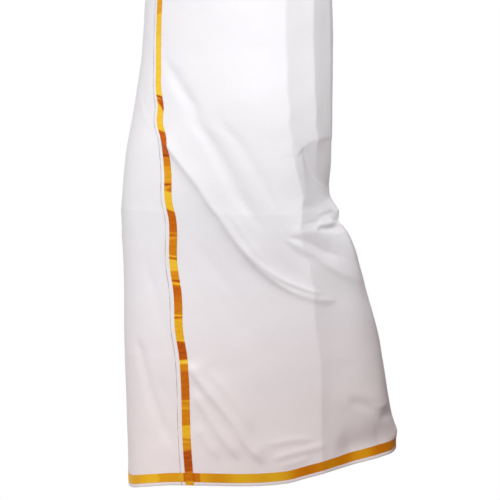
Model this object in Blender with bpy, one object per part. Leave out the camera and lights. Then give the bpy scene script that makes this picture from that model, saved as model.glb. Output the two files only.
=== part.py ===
"""Worn dhoti (a South Indian mundu): one uncut length of white cotton with
woven gold bands, wound once round the waist and legs of a walking figure.

Units are metres, +Z up.  -Y is the wearer's front and +X the wearer's left.
The origin is the centre of the waist opening, where the wearer holds it up.

The cloth is laid out by two distances:
  s   along the cloth from its free outer end, which hangs at the front,
      round the wearer's left, back and right sides, and under itself
  h   height above the floor that the wearer stands on
A point of the cloth is found on the outline at height h, at arc length s from
the free end, and moved out along the outline's normal by the folds' relief and
by the layer it belongs to.
"""
import bpy
import bmesh
import math
import numpy as np

# ----------------------------------------------------------------- main sizes
HOLD_H = 1.015          # height of the origin above the wearer's floor
TOP_H = 1.035           # top edge of the cloth at the waist
HEM_H = 0.0565          # bottom selvage at the front
WALL = 0.0014           # thickness of the cloth wall
LAYER_GAP = 0.0006      # air between the outer layer and the layer beneath
SEAM = 0.0003           # gap between neighbouring stretches
SELVAGE = 0.0075        # white strip below the hem band, and beside the end band
HEM_ZARI = 0.0155       # width of the gold band woven along the hem
END_ZARI = 0.0140       # width of the gold band woven across the free end
ZARI_WALL = 0.0010      # thickness of a gold band
ZARI_GAP = 0.0003       # gap between a gold band and the cloth it lies on
FOLD_DROP = 0.040       # depth of the turned-over fold at the waist
FOLD_WALL = 0.0018
FOLD_GAP = 0.0005
PRESS_S = 0.242         # pressed crease, measured from the free end
BLEND = 0.022           # softness of the cloth where it spans between the legs

# Plan sections: the cloth is stretched round two upright rounds, one for each
# leg, and spans straight between them.  x, y is a round's centre, r its radius.
#  name       height  right leg x, y, r       left leg x, y, r
SECTIONS = [
    ("waist",  1.035, -0.038, -0.001, 0.112,  0.037, 0.000, 0.114),
    ("belly",  0.950, -0.050, -0.015, 0.103,  0.043, 0.007, 0.117),
    ("hip",    0.860, -0.059, -0.026, 0.096,  0.047, 0.010, 0.118),
    ("seat",   0.790, -0.063, -0.038, 0.089,  0.047, 0.010, 0.119),
    ("thigh",  0.700, -0.069, -0.050, 0.089,  0.055, 0.007, 0.115),
    ("low_th", 0.610, -0.077, -0.072, 0.083,  0.067, 0.012, 0.102),
    ("knee",   0.530, -0.084, -0.080, 0.079,  0.076, 0.023, 0.090),
    ("calf_t", 0.470, -0.085, -0.077, 0.080,  0.092, 0.058, 0.087),
    ("calf",   0.420, -0.085, -0.073, 0.081,  0.095, 0.081, 0.085),
    ("shin",   0.300, -0.087, -0.068, 0.083,  0.094, 0.125, 0.084),
    ("ankle",  0.170, -0.089, -0.060, 0.084,  0.090, 0.166, 0.079),
    ("hem",    0.060, -0.089, -0.056, 0.085,  0.085, 0.195, 0.077),
]

# Path of the free end: arc length from the front centre, turning to the left.
#  name       height  arc
FREE_END = [
    ("top",    1.035, -0.050),
    ("waist",  0.900, -0.040),
    ("hip",    0.800, -0.029),
    ("seat",   0.760, -0.020),
    ("upper",  0.730, -0.012),
    ("thigh",  0.698,  0.004),
    ("mid_th", 0.671,  0.013),
    ("kink_a", 0.640,  0.036),
    ("kink_b", 0.592,  0.0525),
    ("knee",   0.540,  0.0595),
    ("below",  0.512,  0.0665),
    ("calf_t", 0.430,  0.063),
    ("calf",   0.384,  0.068),
    ("shin",   0.325,  0.069),
    ("crease", 0.275,  0.075),
    ("low",    0.139,  0.075),
    ("hem",    0.050,  0.079),
]

# Rise of the hem above the front, where the trailing heel lifts the cloth.
#  s      rise
HEM_RISE = [
    (0.00, 0.000), (0.18, 0.001), (0.21, 0.008), (0.27, 0.022), (0.33, 0.037),
    (0.38, 0.048), (0.43, 0.056), (0.50, 0.060), (0.62, 0.049), (0.78, 0.022),
    (0.95, 0.001), (1.03, -0.006), (1.13, 0.000),
]

# The largest folds.  Each runs on a curve through a start, a middle and an end
# point (s, h).  height is its relief, wide_r and wide_l how far it spreads to
# the right and the left of its direction of travel; negative height, a trough.
# A start s below zero lies on the wearer's right, before the free end.
#  name            start          middle         end            height  wide_r  wide_l
FOLDS = [
    ("thigh_ridge",  0.016, 0.640,  0.127, 0.480,  0.272, 0.366,  0.0110, 0.010, 0.036),
    ("thigh_trough", 0.006, 0.600,  0.104, 0.464,  0.250, 0.352, -0.0030, 0.022, 0.012),
    ("thigh_soft",   0.025, 0.765,  0.133, 0.645,  0.204, 0.490, -0.0035, 0.018, 0.024),
    ("low_ridge",    0.018, 0.300,  0.058, 0.198,  0.139, 0.096,  0.0040, 0.014, 0.020),
    ("low_trough",   0.030, 0.300,  0.085, 0.196,  0.170, 0.104, -0.0030, 0.018, 0.018),
    ("pit_fan_a",    0.211, 0.486,  0.279, 0.468,  0.390, 0.410, -0.0060, 0.014, 0.016),
    ("pit_fan_b",    0.208, 0.476,  0.262, 0.440,  0.370, 0.370,  0.0050, 0.014, 0.014),
    ("pit_shelf",    0.232, 0.492,  0.290, 0.510,  0.420, 0.515,  0.0060, 0.014, 0.018),
    ("seat_drape",   0.256, 0.638,  0.290, 0.575,  0.345, 0.515, -0.0050, 0.018, 0.024),
    ("back_pull",    0.430, 0.700,  0.520, 0.560,  0.620, 0.420, -0.0070, 0.030, 0.030),
    ("back_ridge",   0.480, 0.460,  0.560, 0.340,  0.640, 0.180,  0.0070, 0.024, 0.030),
    ("back_hang",    0.690, 0.560,  0.680, 0.380,  0.700, 0.140,  0.0070, 0.024, 0.024),
    ("side_hang",   -0.300, 0.520, -0.290, 0.330, -0.270, 0.120, -0.0050, 0.026, 0.026),
    ("knee_pull",   -0.120, 0.520, -0.190, 0.450, -0.280, 0.430,  0.0050, 0.016, 0.022),
    ("front_hang",  -0.030, 0.440, -0.018, 0.260, -0.001, 0.110, -0.0030, 0.016, 0.016),
]


# ------------------------------------------------------------ form of the cloth
def hermite(x, xs, ys):
    """Smooth curve through rows of a table; ys may have several columns."""
    xs = np.asarray(xs, float)
    ys = np.asarray(ys, float)
    if xs[0] > xs[-1]:
        xs, ys = xs[::-1], ys[::-1]
    x = min(max(x, xs[0]), xs[-1])
    d = (np.diff(ys, axis=0).T / np.diff(xs)).T
    m = np.zeros_like(ys)
    m[1:-1] = (d[1:] + d[:-1]) / 2
    m[0], m[-1] = d[0], d[-1]
    i = int(min(max(np.searchsorted(xs, x) - 1, 0), len(xs) - 2))
    span = xs[i + 1] - xs[i]
    t = (x - xs[i]) / span
    return ((2 * t**3 - 3 * t**2 + 1) * ys[i] + (t**3 - 2 * t**2 + t) * span * m[i]
            + (3 * t**2 - 2 * t**3) * ys[i + 1] + (t**3 - t**2) * span * m[i + 1])


def smooth(t):
    t = min(max(t, 0.0), 1.0)
    return t * t * (3 - 2 * t)


TURNS = 720
PHI = np.linspace(0, 2 * math.pi, TURNS, endpoint=False)   # 0 faces the front
NORMAL = np.stack([np.sin(PHI), -np.cos(PHI)], 1)
TANGENT = np.stack([np.cos(PHI), np.sin(PHI)], 1)
OUTLINES = {}


def outline(h):
    """Outline at height h: points, arc lengths from the front, and its length."""
    key = round(h, 6)
    if key not in OUTLINES:
        row = hermite(h, [r[1] for r in SECTIONS], [r[2:] for r in SECTIONS])
        right, r_r, left, l_r = row[0:2], row[2], row[3:5], row[5]
        reach_r = NORMAL @ right + r_r
        reach_l = NORMAL @ left + l_r
        top = np.maximum(reach_r, reach_l)
        er = np.exp((reach_r - top) / BLEND)
        el = np.exp((reach_l - top) / BLEND)
        reach = top + BLEND * np.log(er + el)
        share = er / (er + el)
        slide = share * (TANGENT @ right) + (1 - share) * (TANGENT @ left)
        pts = reach[:, None] * NORMAL + slide[:, None] * TANGENT
        steps = np.linalg.norm(np.roll(pts, -1, 0) - pts, axis=1)
        arcs = np.concatenate([[0.0], np.cumsum(steps)])
        OUTLINES[key] = (np.vstack([pts, pts[:1]]), arcs, arcs[-1])
    return OUTLINES[key]


def girth(h):
    return outline(h)[2]


def free_end(h):
    return float(hermite(h, [r[1] for r in FREE_END], [[r[2]] for r in FREE_END])[0])


def hem_rise(s):
    return float(np.interp(s, [r[0] for r in HEM_RISE], [r[1] for r in HEM_RISE]))


def fold_curve(row, count=25):
    """Points along a fold: the parabola through its three points."""
    a, b, c = np.array(row[1:3]), np.array(row[3:5]), np.array(row[5:7])
    mid = 2 * b - (a + c) / 2
    t = np.linspace(0, 1, count)[:, None]
    return (1 - t)**2 * a + 2 * t * (1 - t) * mid + t**2 * c


CURVES = [(fold_curve(r), r[7], r[8], r[9]) for r in FOLDS]


def relief(s, h):
    """How far the folds push the cloth out at (s, h)."""
    length = girth(h)
    total = 0.0
    for curve, height, wide_r, wide_l in CURVES:
        for turn in (0.0, -length):
            gap = np.array([s + turn, h]) - curve
            k = int(np.argmin((gap**2).sum(1)))
            along = curve[min(k + 1, len(curve) - 1)] - curve[max(k - 1, 0)]
            along = along / np.linalg.norm(along)
            side = along[0] * gap[k][1] - along[1] * gap[k][0]
            wide = wide_l if side > 0 else wide_r
            dist = math.sqrt((gap[k]**2).sum())
            u = k / (len(curve) - 1)
            fade = smooth(u / 0.25) * smooth((1 - u) / 0.25)
            total += height * fade * math.exp(-(dist / wide)**2)
    return total


def layer(s, h):
    """The outer layer rides over the underlap, then eases in to the body."""
    start, stop = lap_end(h) + 0.03, lap_end(h) + 0.20
    return (WALL + LAYER_GAP) * (1 - smooth((s - start) / (stop - start)))


def place(s, h, out):
    """World position at arc s from the free end, height h, moved out by out."""
    pts, arcs, length = outline(h)
    c = (free_end(h) + s) % length
    i = int(np.searchsorted(arcs, c, side="right") - 1)
    i = min(max(i, 0), TURNS - 1)
    t = (c - arcs[i]) / (arcs[i + 1] - arcs[i])
    p = pts[i] * (1 - t) + pts[i + 1] * t
    phi = (i + t) * 2 * math.pi / TURNS
    out = out + relief(s % length, h)
    return (p[0] + out * math.sin(phi), p[1] - out * math.cos(phi), h - HOLD_H)


# ------------------------------------------------------------- rows and columns
# Rows count up from the bottom selvage.  v is the distance from it.
ROW_V = [0.0, SELVAGE, SELVAGE + HEM_ZARI] + [0.023 + (0.9385 - 0.023) * k / 25 for k in range(1, 26)]
ROW_V += [TOP_H - HEM_H]
FOLD_ROW = len(ROW_V) - 2      # the row at the lower edge of the waist fold


def row_height(v, s):
    """The hem's rise dies out half a metre up the cloth."""
    return HEM_H + v + hem_rise(s) * (1 - smooth(v / 0.5))


def third(h):
    """The rest of the turn past the pressed crease, in three equal stretches."""
    return (girth(h) - PRESS_S) / 3


def lap_end(h):
    """The underlap ends part of the way along the left stretch."""
    return PRESS_S + third(h) * LAP_COLS / LEFT_COLS


FRONT_COLS, LEFT_COLS, LAP_COLS, BACK_COLS, RIGHT_COLS = 14, 10, 6, 10, 11


def front_cols(h):
    fixed = [0.0, SELVAGE, SELVAGE + END_ZARI]
    n = FRONT_COLS - 2
    return fixed + [fixed[-1] + (PRESS_S - fixed[-1]) * k / n for k in range(1, n + 1)]


def left_cols(h):
    return [PRESS_S + third(h) * k / LEFT_COLS for k in range(LEFT_COLS + 1)]


def back_cols(h):
    return [PRESS_S + third(h) * (1 + k / BACK_COLS) for k in range(BACK_COLS + 1)]


def right_cols(h):
    return [PRESS_S + third(h) * (2 + k / RIGHT_COLS) for k in range(RIGHT_COLS + 1)]


def lap_cols(h):
    return front_cols(h) + left_cols(h)[1:LAP_COLS + 1]


def trimmed(cols, start, stop):
    """Draw the first and last columns in by half a seam."""
    cols = list(cols)
    cols[0] += start
    cols[-1] -= stop
    return cols


# --------------------------------------------------------------------- solids
def closed_wall(name, inner, outer, material, ring=False):
    """One closed wall from two matching grids [row][column] of points."""
    bm = bmesh.new()
    vi = [[bm.verts.new(p) for p in row] for row in inner]
    vo = [[bm.verts.new(p) for p in row] for row in outer]
    rows, cols = len(vi), len(vi[0])
    last = cols if ring else cols - 1

    def tri(a, b, c):
        bm.faces.new((a, b, c))

    def quad(a, b, c, d):
        tri(a, b, c)
        tri(a, c, d)

    for r in range(rows - 1):
        for c in range(last):
            n = (c + 1) % cols
            quad(vo[r][c], vo[r][n], vo[r + 1][n], vo[r + 1][c])
            tri(vi[r][c], vi[r + 1][n], vi[r][n])
            tri(vi[r][c], vi[r + 1][c], vi[r + 1][n])
    for c in range(last):
        n = (c + 1) % cols
        quad(vi[0][c], vi[0][n], vo[0][n], vo[0][c])
        quad(vi[-1][c], vo[-1][c], vo[-1][n], vi[-1][n])
    if not ring:
        for r in range(rows - 1):
            quad(vi[r][0], vo[r][0], vo[r + 1][0], vi[r + 1][0])
            quad(vi[r][-1], vi[r + 1][-1], vo[r + 1][-1], vo[r][-1])
    mesh = bpy.data.meshes.new(name)
    bm.to_mesh(mesh)
    bm.free()
    mesh.materials.append(material)
    mesh.shade_smooth()
    mesh.set_sharp_from_angle(angle=math.radians(50))
    obj = bpy.data.objects.new(name, mesh)
    bpy.context.scene.collection.objects.link(obj)
    return obj


def grid(rows, columns, out, start=0.0, stop=0.0, low=0.0, high=0.0):
    """Points for a range of rows; columns(h) gives the arcs, out(s, h) the offset.
    low and high draw the bottom and top rows in by that much."""
    points = []
    for k, r in enumerate(rows):
        v = ROW_V[r] + (low if k == 0 else 0.0) - (high if k == len(rows) - 1 else 0.0)
        h0 = HEM_H + ROW_V[r]
        line = []
        for s in trimmed(columns(h0), start, stop):
            h = row_height(v, s)
            line.append(place(s, h, out(s, h0)))
        points.append(line)
    return points


def stretch(name, columns, base, material, start, stop):
    rows = range(len(ROW_V))
    inner = grid(rows, columns, lambda s, h: base(s, h), start, stop)
    outer = grid(rows, columns, lambda s, h: base(s, h) + WALL, start, stop)
    return closed_wall(name, inner, outer, material)


def band(name, rows, columns, base, material, start, stop, low=0.0, high=0.0):
    lift = WALL + ZARI_GAP
    inner = grid(rows, columns, lambda s, h: base(s, h) + lift, start, stop, low, high)
    outer = grid(rows, columns, lambda s, h: base(s, h) + lift + ZARI_WALL, start, stop, low, high)
    return closed_wall(name, inner, outer, material)


def principled(name, colour, roughness, metallic):
    material = bpy.data.materials.new(name)
    material.use_nodes = True
    shader = material.node_tree.nodes["Principled BSDF"]
    shader.inputs["Base Color"].default_value = (*colour, 1.0)
    shader.inputs["Roughness"].default_value = roughness
    shader.inputs["Metallic"].default_value = metallic
    material.diffuse_color = (*colour, 1.0)
    return material


def flat_layer(s, h):
    return 0.0


def build():
    for obj in list(bpy.data.objects):
        bpy.data.objects.remove(obj, do_unlink=True)

    half = SEAM / 2

    def cotton(tone):
        return principled("cotton_" + tone, {"front": (0.86, 0.86, 0.87), "left": (0.84, 0.84, 0.85),
                          "back": (0.82, 0.82, 0.83), "right": (0.85, 0.85, 0.85),
                          "under": (0.80, 0.80, 0.80), "fold": (0.87, 0.87, 0.87)}[tone], 0.85, 0.0)

    def gold(part):
        return principled("zari_" + part, (0.78, 0.50, 0.10), 0.38, 0.75)

    # the cloth itself, stretch by stretch from the free outer end
    stretch("wrap_front", front_cols, layer, cotton("front"), 0.0, half)
    stretch("wrap_left", left_cols, layer, cotton("left"), half, half)
    stretch("wrap_back", back_cols, layer, cotton("back"), half, half)
    stretch("wrap_right", right_cols, layer, cotton("right"), half, half)
    stretch("wrap_underlap", lap_cols, flat_layer, cotton("under"), half, 0.0)

    # gold bands: across the free end, and along the hem of each stretch
    hem_rows = [1, 2]
    end_rows = range(2, FOLD_ROW + 1)
    band("zari_end", end_rows, lambda h: front_cols(h)[1:3], layer, gold("end"),
         0.0, 0.0, low=SEAM, high=SEAM)
    band("zari_hem_front", hem_rows, front_cols, layer, gold("front"), 0.0, half)
    band("zari_hem_left", hem_rows, left_cols, layer, gold("left"), half, half)
    band("zari_hem_back", hem_rows, back_cols, layer, gold("back"), half, half)
    band("zari_hem_right", hem_rows, right_cols, layer, gold("right"), half, 0.0015)

    # waist fold: the top of the cloth turned out and down, all the way round
    def ring_cols(h):
        return front_cols(h) + left_cols(h)[1:] + back_cols(h)[1:] + right_cols(h)[1:-1]

    def ring_out(s, h):
        step = WALL + LAYER_GAP
        rejoin = smooth((s - (girth(h) - 0.045)) / 0.022)
        return max(layer(s, h), step * rejoin) + WALL + FOLD_GAP

    rows = [FOLD_ROW, FOLD_ROW + 1]
    closed_wall("waist_fold", grid(rows, ring_cols, ring_out),
                grid(rows, ring_cols, lambda s, h: ring_out(s, h) + FOLD_WALL),
                cotton("fold"), ring=True)


build()
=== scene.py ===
"""Looks of the dhoti on its wearer: the wrapped cotton sheet with its folds and pressed
creases, the woven gold bands, the turned waist, and a plain pale studio."""
import math
import numpy as np
import bpy
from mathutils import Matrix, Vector


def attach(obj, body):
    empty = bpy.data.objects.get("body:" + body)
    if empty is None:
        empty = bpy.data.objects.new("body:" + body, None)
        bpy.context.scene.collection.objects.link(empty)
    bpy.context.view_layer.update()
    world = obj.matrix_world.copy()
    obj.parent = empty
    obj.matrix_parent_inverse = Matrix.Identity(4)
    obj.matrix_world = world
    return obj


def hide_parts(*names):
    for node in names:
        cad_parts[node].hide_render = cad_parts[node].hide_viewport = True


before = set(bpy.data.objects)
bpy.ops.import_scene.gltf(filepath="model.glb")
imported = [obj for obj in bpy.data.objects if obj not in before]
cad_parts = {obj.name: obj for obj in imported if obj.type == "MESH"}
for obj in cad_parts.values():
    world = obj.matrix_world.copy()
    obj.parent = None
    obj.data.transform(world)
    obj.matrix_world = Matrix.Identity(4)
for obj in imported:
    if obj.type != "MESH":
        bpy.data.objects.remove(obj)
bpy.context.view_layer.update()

# ----------------------------------------------------------------- main sizes
HOLD_H = 1.015          # height of the origin above the wearer's floor
TOP_H = 1.035           # top edge of the cloth at the waist
HEM_H = 0.0565          # bottom selvage at the front
WALL = 0.0014
LAYER_GAP = 0.0006
SELVAGE = 0.0075        # white strip below the hem band, and beside the end band
EDGE = 0.0018           # how much of that strip is turned up out of sight at the hem
HEM_ZARI = 0.0155       # gold band along the hem
END_ZARI = 0.0140       # gold band across the free end
FOLD_DROP = 0.040
PRESS_S = 0.242         # pressed crease along the cloth's height
PRESS_GAP = 0.055       # from it to the next pressed line
PRESS_ROUND = 0.112     # radius of the body there, flattened between the lines
PRESS_WIDE = 0.106      # the one wide flat above the knee
KNEE_ROUND = 0.098
PACK_V = (0.218, 0.465, 0.712)   # packing creases across, from the bottom selvage
BLEND = 0.022
FULL_H = TOP_H - HEM_H

#  name       height  right leg x, y, r       left leg x, y, r
SECTIONS = [
    ("waist",  1.035, -0.038, -0.001, 0.112,  0.037, 0.000, 0.114),
    ("belly",  0.950, -0.050, -0.015, 0.103,  0.043, 0.007, 0.117),
    ("hip",    0.860, -0.059, -0.026, 0.096,  0.047, 0.010, 0.118),
    ("seat",   0.790, -0.063, -0.038, 0.089,  0.047, 0.010, 0.119),
    ("thigh",  0.700, -0.069, -0.050, 0.089,  0.055, 0.007, 0.115),
    ("low_th", 0.610, -0.077, -0.072, 0.083,  0.067, 0.012, 0.102),
    ("knee",   0.530, -0.084, -0.080, 0.079,  0.076, 0.023, 0.090),
    ("calf_t", 0.470, -0.085, -0.077, 0.080,  0.092, 0.058, 0.087),
    ("calf",   0.420, -0.085, -0.073, 0.081,  0.095, 0.081, 0.085),
    ("shin",   0.300, -0.087, -0.068, 0.083,  0.094, 0.125, 0.084),
    ("ankle",  0.170, -0.089, -0.060, 0.084,  0.090, 0.166, 0.079),
    ("hem",    0.060, -0.089, -0.056, 0.085,  0.085, 0.195, 0.077),
]

# path of the free end: arc length from the front centre, turning to the left
#  name       height  arc
FREE_END = [
    ("top",    1.035, -0.050),
    ("waist",  0.900, -0.040),
    ("hip",    0.800, -0.029),
    ("seat",   0.760, -0.020),
    ("upper",  0.730, -0.012),
    ("thigh",  0.698,  0.004),
    ("mid_th", 0.671,  0.013),
    ("kink_a", 0.640,  0.036),
    ("kink_b", 0.592,  0.0525),
    ("knee",   0.540,  0.0595),
    ("below",  0.512,  0.0665),
    ("calf_t", 0.430,  0.063),
    ("calf",   0.384,  0.068),
    ("shin",   0.325,  0.069),
    ("crease", 0.275,  0.075),
    ("low",    0.139,  0.075),
    ("hem",    0.050,  0.079),
]

#  s      rise of the hem
HEM_RISE = [
    (0.00, 0.000), (0.18, 0.001), (0.21, 0.008), (0.27, 0.022), (0.33, 0.0335),
    (0.38, 0.0415), (0.43, 0.0505), (0.50, 0.0575), (0.62, 0.049), (0.78, 0.022),
    (0.93, -0.001), (0.98, -0.009), (1.02, -0.012), (1.06, -0.006), (1.10, -0.001), (1.13, 0.000),
]

# Folds.  Each runs along a smooth path through points (s, h): s along the cloth
# from the free end, h above the floor.  relief is its height (below zero, a
# trough), right / left how far it spreads either side of its direction of
# travel, crest how round its top is, in / out the share of its length over
# which it dies away.  soft 1 gives straight flanks, 2 a rounded swell.
FOLDS = [
    # name            path                                                   relief  right  left   crest  in    out   soft
    # front: the long pull from the waist to the back of the left knee
    ("thigh_ridge",  [(0.004, 0.652), (0.022, 0.631), (0.042, 0.604), (0.076, 0.560), (0.099, 0.517), (0.122, 0.478),
                      (0.158, 0.438), (0.185, 0.410), (0.215, 0.391)],                  0.0075, 0.0080, 0.030, 0.0012, 0.08, 0.30, 1),
    ("ridge_tip",    [(0.100, 0.514), (0.128, 0.471), (0.152, 0.437), (0.178, 0.410), (0.206, 0.391), (0.232, 0.381),
                      (0.262, 0.374), (0.290, 0.371)],                                  0.0034, 0.0040, 0.0090, 0.0008, 0.35, 0.12, 1),
    ("ridge_tip_a",  [(0.150, 0.452), (0.172, 0.428), (0.198, 0.409), (0.228, 0.395), (0.262, 0.384)],  0.0028, 0.0030, 0.0070, 0.0006, 0.35, 0.15, 1),
    ("ridge_tip_b",  [(0.105, 0.540), (0.130, 0.500), (0.158, 0.458), (0.188, 0.428)],  0.0016, 0.005, 0.012, 0.0010, 0.35, 0.35, 1),
    ("soft_valley",  [(0.020, 0.790), (0.072, 0.715), (0.103, 0.634), (0.136, 0.560), (0.172, 0.483)], -0.0040, 0.013, 0.013, 0.0, 0.20, 0.22, 2),
    ("soft_valley_b", [(0.125, 0.700), (0.147, 0.640), (0.172, 0.587), (0.205, 0.518)], -0.0018, 0.011, 0.011, 0.0, 0.30, 0.25, 2),
    ("faint_valley", [(0.038, 0.486), (0.081, 0.438), (0.106, 0.387), (0.130, 0.314), (0.139, 0.258)], -0.0014, 0.014, 0.014, 0.0, 0.30, 0.30, 2),
    ("faint_b",      [(0.075, 0.400), (0.104, 0.345), (0.118, 0.290)],                  -0.0010, 0.010, 0.010, 0.0, 0.35, 0.35, 2),
    # front, low: short pulls fanning from the free end to the hem
    ("low_a",        [(0.019, 0.272), (0.038, 0.238), (0.067, 0.200), (0.094, 0.163), (0.116, 0.125), (0.146, 0.090)], 0.0068, 0.0065, 0.013, 0.0010, 0.10, 0.15, 1),
    ("low_b",        [(0.024, 0.226), (0.050, 0.178), (0.074, 0.140), (0.104, 0.096)],  0.0052, 0.006, 0.011, 0.0010, 0.18, 0.20, 1),
    ("low_c",        [(0.026, 0.170), (0.046, 0.132), (0.070, 0.098)],                  0.0028, 0.005, 0.009, 0.0010, 0.30, 0.30, 1),
    ("low_d",        [(0.050, 0.262), (0.084, 0.218), (0.110, 0.178), (0.130, 0.140)],  0.0030, 0.006, 0.012, 0.0012, 0.30, 0.30, 1),
    # left of the free end
    ("side_a",       [(-0.040, 0.470), (-0.030, 0.400), (-0.014, 0.335), (-0.002, 0.270)], -0.0015, 0.009, 0.009, 0.0, 0.35, 0.35, 2),
    ("side_b",       [(-0.070, 0.320), (-0.055, 0.240), (-0.032, 0.175), (-0.006, 0.110)], -0.0034, 0.010, 0.010, 0.0, 0.20, 0.25, 2),
    ("side_c",       [(-0.032, 0.250), (-0.018, 0.203), (-0.004, 0.160)],               -0.0018, 0.007, 0.007, 0.0, 0.30, 0.30, 2),
    ("end_pull",     [(-0.060, 0.720), (-0.030, 0.685), (-0.006, 0.655)],               0.0009, 0.005, 0.008, 0.0015, 0.35, 0.35, 1),
    # hem, and the bulge over the lifted ankle
    ("hem_a",        [(0.140, 0.124), (0.186, 0.133), (0.238, 0.136)],                  0.0020, 0.004, 0.006, 0.0010, 0.30, 0.30, 1),
    ("hem_b",        [(0.150, 0.100), (0.206, 0.114), (0.261, 0.126)],                  0.0026, 0.004, 0.006, 0.0010, 0.25, 0.30, 1),
    ("hem_c",        [(0.160, 0.087), (0.195, 0.094), (0.226, 0.104)],                  0.0018, 0.003, 0.005, 0.0010, 0.30, 0.30, 1),
    ("ankle_roll",   [(0.250, 0.190), (0.295, 0.203), (0.335, 0.204), (0.370, 0.200), (0.395, 0.196)],  0.0044, 0.026, 0.060, 0.0080, 0.30, 0.30, 1),
    ("ankle_dip",    [(0.285, 0.205), (0.323, 0.190), (0.360, 0.186)],                  -0.0024, 0.010, 0.010, 0.0, 0.35, 0.35, 2),
    ("ankle_fold",   [(0.318, 0.196), (0.350, 0.186), (0.392, 0.190)],                  0.0026, 0.005, 0.009, 0.0012, 0.35, 0.30, 1),
    ("ankle_cup",    [(0.262, 0.108), (0.310, 0.116), (0.350, 0.124), (0.392, 0.132)],  -0.0088, 0.028, 0.028, 0.0, 0.30, 0.30, 2),
    ("heel_notch",   [(0.350, 0.166), (0.378, 0.168), (0.415, 0.169)],                  -0.0022, 0.009, 0.009, 0.0, 0.30, 0.30, 2),
    ("heel_flare",   [(0.378, 0.122), (0.405, 0.132), (0.440, 0.142), (0.480, 0.142)],  0.0060, 0.010, 0.014, 0.0040, 0.35, 0.35, 1),
    ("knee_beak",    [(0.318, 0.520), (0.345, 0.521), (0.375, 0.519)],                  0.0048, 0.004, 0.009, 0.0010, 0.35, 0.35, 1),
    ("beak_notch",   [(0.300, 0.508), (0.330, 0.506), (0.365, 0.505), (0.400, 0.506)],  -0.0055, 0.0060, 0.0060, 0.0, 0.30, 0.30, 2),
    ("calf_fold",    [(0.352, 0.362), (0.385, 0.330), (0.410, 0.280), (0.425, 0.230)],  0.0018, 0.007, 0.012, 0.0020, 0.25, 0.35, 1),
    # back
    ("seat_pull",    [(0.400, 0.760), (0.450, 0.690), (0.520, 0.590), (0.590, 0.480), (0.640, 0.400)], -0.0055, 0.018, 0.022, 0.0, 0.20, 0.25, 2),
    ("seat_ridge",   [(0.455, 0.640), (0.510, 0.560), (0.575, 0.470), (0.655, 0.395), (0.720, 0.365)], 0.0042, 0.012, 0.024, 0.0025, 0.15, 0.20, 1),
    ("seat_soft",    [(0.560, 0.770), (0.610, 0.690), (0.680, 0.600), (0.740, 0.540)],  -0.0028, 0.016, 0.016, 0.0, 0.25, 0.30, 2),
    ("knee_back_a",  [(0.365, 0.500), (0.410, 0.486), (0.470, 0.468), (0.520, 0.430)],  -0.0042, 0.009, 0.012, 0.0015, 0.20, 0.30, 1),
    ("knee_back_b",  [(0.380, 0.470), (0.430, 0.445), (0.500, 0.400), (0.545, 0.345)],  0.0034, 0.008, 0.014, 0.0020, 0.20, 0.25, 1),
    ("calf_back",    [(0.470, 0.400), (0.530, 0.320), (0.590, 0.230), (0.640, 0.140)],  0.0038, 0.014, 0.022, 0.0030, 0.20, 0.25, 1),
    ("hang_a",       [(0.700, 0.500), (0.690, 0.390), (0.700, 0.270), (0.720, 0.130)],  0.0042, 0.013, 0.018, 0.0035, 0.20, 0.20, 1),
    ("hang_b",       [(0.765, 0.440), (0.770, 0.340), (0.790, 0.200), (0.810, 0.100)],  -0.0032, 0.014, 0.014, 0.0, 0.25, 0.25, 2),
    ("hang_c",       [(0.625, 0.330), (0.655, 0.230), (0.672, 0.120)],                  -0.0026, 0.012, 0.012, 0.0, 0.30, 0.25, 2),
    # right side
    ("knee_pull",    [(-0.110, 0.545), (-0.160, 0.490), (-0.220, 0.455), (-0.300, 0.440)], 0.0028, 0.016, 0.010, 0.0020, 0.25, 0.30, 1),
    ("knee_pull_b",  [(-0.105, 0.500), (-0.165, 0.445), (-0.240, 0.400), (-0.310, 0.385)], 0.0022, 0.014, 0.008, 0.0018, 0.25, 0.30, 1),
    ("side_hang",    [(-0.300, 0.400), (-0.285, 0.290), (-0.265, 0.170), (-0.260, 0.100)], -0.0034, 0.014, 0.014, 0.0, 0.25, 0.25, 2),
    ("side_hang_b",  [(-0.210, 0.340), (-0.200, 0.240), (-0.175, 0.130)],               0.0022, 0.012, 0.016, 0.0030, 0.30, 0.25, 1),
    ("thigh_side",   [(-0.250, 0.760), (-0.205, 0.680), (-0.150, 0.600), (-0.115, 0.560)], -0.0024, 0.016, 0.016, 0.0, 0.25, 0.30, 2),
]

# how far the pressed crease strays from PRESS_S
#  height  stray
PRESS_STRAY = [
    (1.035, 0.010), (0.775, 0.009), (0.743, 0.009), (0.710, 0.004), (0.680, 0.003), (0.655, -0.002), (0.630, -0.010),
    (0.597, -0.008), (0.579, -0.006), (0.562, 0.000), (0.547, 0.003), (0.532, -0.004), (0.513, -0.009),
    (0.494, -0.015), (0.466, -0.008), (0.449, -0.003), (0.430, 0.002), (0.400, 0.000), (0.300, 0.002), (0.050, 0.000),
]

# the tuck under the seat, between the flats above it and the one below: its
# upper and lower edge
#  s      height
TUCK_TOP = [(0.200, 0.621), (0.240, 0.621), (0.256, 0.633), (0.274, 0.638), (0.301, 0.642), (0.345, 0.643)]
TUCK_LOW = [(0.200, 0.611), (0.240, 0.613), (0.253, 0.624), (0.259, 0.612), (0.267, 0.599), (0.279, 0.585),
            (0.298, 0.574), (0.325, 0.564), (0.400, 0.556)]

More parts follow.
